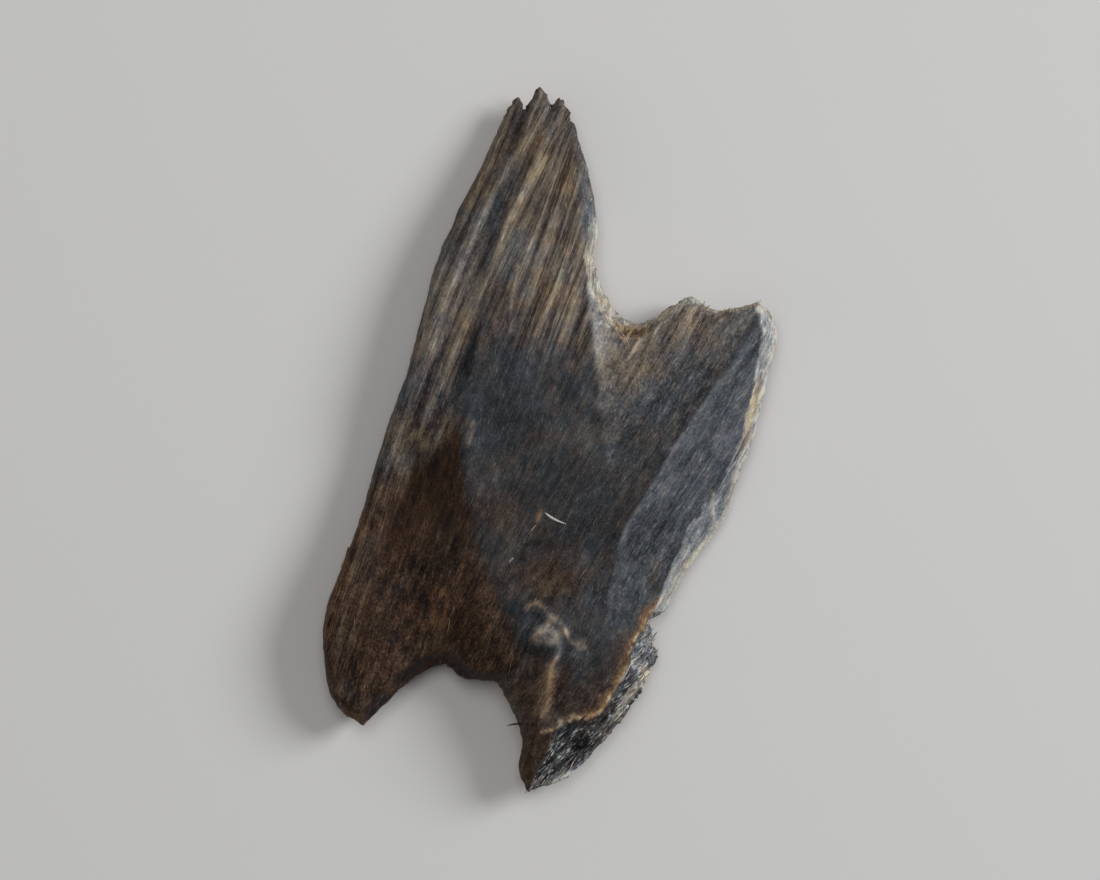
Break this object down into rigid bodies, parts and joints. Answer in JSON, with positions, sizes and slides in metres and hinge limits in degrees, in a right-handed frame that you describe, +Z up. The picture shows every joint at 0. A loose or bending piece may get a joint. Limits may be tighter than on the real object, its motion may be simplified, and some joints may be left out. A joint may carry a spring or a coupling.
{
  "type": "agarwood piece",
  "caption": "Flat flake of resin-dark agarwood with a tapering stem, a notched shoulder, and a lobe and a pointed foot with an arch between them. It lies on its split back.",
  "frame": {"origin": "on the surface it lies on, under the middle of its box", "axes": "+Z up out of the carved face, +Y along the chip towards the stem's splintered end, +X towards the shoulder"},
  "size_m": [0.02, 0.031, 0.0036],
  "materials": {
    "resinous_agarwood": "raw split and carved wood, dark with resin, dull with a slight sheen"
  },
  "bodies": {
    "root": {"agarwood_chip": "resinous_agarwood"}
  },
  "joints": []
}
